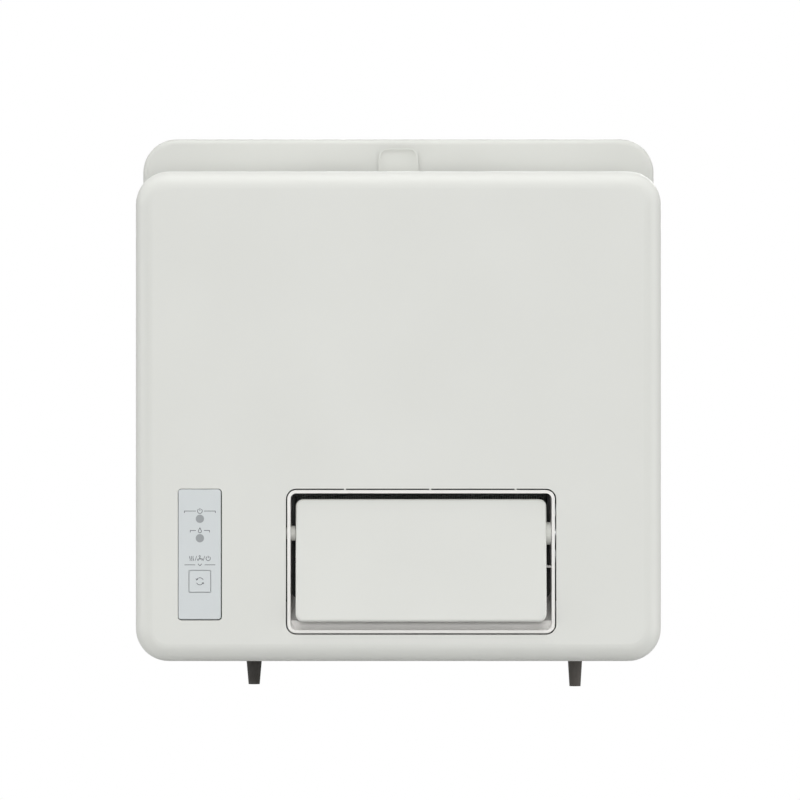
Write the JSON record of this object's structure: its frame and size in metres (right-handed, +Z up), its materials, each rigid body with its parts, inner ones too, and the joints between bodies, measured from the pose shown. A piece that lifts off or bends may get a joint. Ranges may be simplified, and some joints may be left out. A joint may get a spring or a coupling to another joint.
{
  "type": "window bathroom heater",
  "caption": "Bathroom heater and ventilator for a window: a rounded white housing with a swinging outlet flap and a key panel hangs on a square plate, with a rain hood outdoors.",
  "frame": {"origin": "centre of the round hole in the window, on the indoor face of the glass", "axes": "+Y outdoors through the glass, so the room and the front are at -Y, +X right as seen from the room, +Z up"},
  "size_m": [0.356, 0.2461, 0.3794],
  "materials": {
    "white_shell": "satin moulded, fine grain",
    "bezel_white": "satin moulded",
    "flap_white": "satin moulded",
    "panel_white": "matte printed film",
    "lens_grey": "smoked, unlit",
    "pale_plastic": "moulded acetal",
    "boot_rubber": "matte",
    "gasket_foam": "closed-cell foam",
    "filter_fabric": "woven nylon net",
    "fin_aluminium": "folded sheet",
    "bar_aluminium": "drawn",
    "heat_plastic": "glass-filled",
    "grey_plastic": "moulded",
    "dark_plastic": "moulded",
    "motor_steel": "drawn can",
    "zinc_steel": "zinc plated",
    "board_green": "circuit board",
    "hood_paint": "powder coated",
    "slat_aluminium": "rolled"
  },
  "bodies": {
    "root": {"board_box": "grey_plastic", "board_parts": "dark_plastic", "clamp_screws": "zinc_steel", "control_board": "board_green", "control_panel": "panel_white", "cover_screws": "zinc_steel", "damper_motor": "motor_steel", "exhaust_neck": "grey_plastic", "fan_casing": "grey_plastic", "fan_motor": "motor_steel", "front_cover": "white_shell", "hanger_hooks": "zinc_steel", "heater_bars": "bar_aluminium", "heater_fins": "fin_aluminium", "heater_frame": "heat_plastic", "heater_terminals": "heat_plastic", "hood_guard": "hood_paint", "hood_screws": "zinc_steel", "hook_screws": "zinc_steel", "indicator_lenses": "lens_grey", "inlet_ring": "grey_plastic", "lock_screws": "zinc_steel", "louver_bush": "pale_plastic", "louver_motor": "motor_steel", "lower_spacers": "pale_plastic", "motor_plate": "zinc_steel", "motor_screws": "zinc_steel", "mounting_plate": "white_shell", "neck_gasket": "gasket_foam", "outer_gasket": "gasket_foam", "outer_hood": "hood_paint", "outer_plate": "hood_paint", "outlet_bezel": "bezel_white", "power_board": "board_green", "rear_case": "white_shell", "run_capacitor": "dark_plastic", "shutter_frame": "hood_paint", "signal_cord_boot": "boot_rubber", "supply_cord_boot": "boot_rubber", "terminal_block": "dark_plastic", "thermal_cutout": "zinc_steel", "window_gasket": "gasket_foam"},
    "louver": {"louver_flap": "flap_white"},
    "key": {"mode_button": "panel_white"},
    "filter": {"filter_frame": "white_shell", "filter_mesh": "filter_fabric"},
    "wheel": {"impeller": "grey_plastic", "motor_shaft": "zinc_steel"},
    "damper": {"damper_plate": "grey_plastic", "damper_seal": "gasket_foam"},
    "slat_1": {"shutter_slat_1": "slat_aluminium"},
    "slat_2": {"shutter_slat_2": "slat_aluminium"},
    "slat_3": {"shutter_slat_3": "slat_aluminium"}
  },
  "joints": [
    {"name": "louver_swing", "type": "hinge", "parent": "root", "child": "louver", "pos_m": [0.0153, -0.134, -0.0945], "axis": [-1, 0, 0], "range_deg": [-5, 75]},
    {"name": "key_press", "type": "slide", "parent": "root", "child": "key", "axis": [0, 1, 0], "range_m": [0, 0.0006], "stiffness_N_per_m": 900, "springref_m": -0.0006},
    {"name": "filter_pull", "type": "slide", "parent": "root", "child": "filter", "axis": [0, 0, 1], "range_m": [0, 0.2]},
    {"name": "wheel_spin", "type": "hinge", "parent": "root", "child": "wheel", "pos_m": [0.00925, -0.088, 0.0541], "axis": [0, 1, 0], "continuous": true},
    {"name": "damper_turn", "type": "hinge", "parent": "root", "child": "damper", "pos_m": [0.0153, -0.05, -0.10501], "axis": [1, 0, 0], "range_deg": [0, 36]},
    {"name": "slat_1_swing", "type": "hinge", "parent": "root", "child": "slat_1", "pos_m": [0, 0.01395, -0.05341], "axis": [1, 0, 0], "range_deg": [0, 75]},
    {"name": "slat_2_swing", "type": "hinge", "parent": "root", "child": "slat_2", "pos_m": [0, 0.01395, -0.06941], "axis": [1, 0, 0], "range_deg": [0, 75]},
    {"name": "slat_3_swing", "type": "hinge", "parent": "root", "child": "slat_3", "pos_m": [0, 0.01395, -0.08541], "axis": [1, 0, 0], "range_deg": [0, 75]}
  ]
}
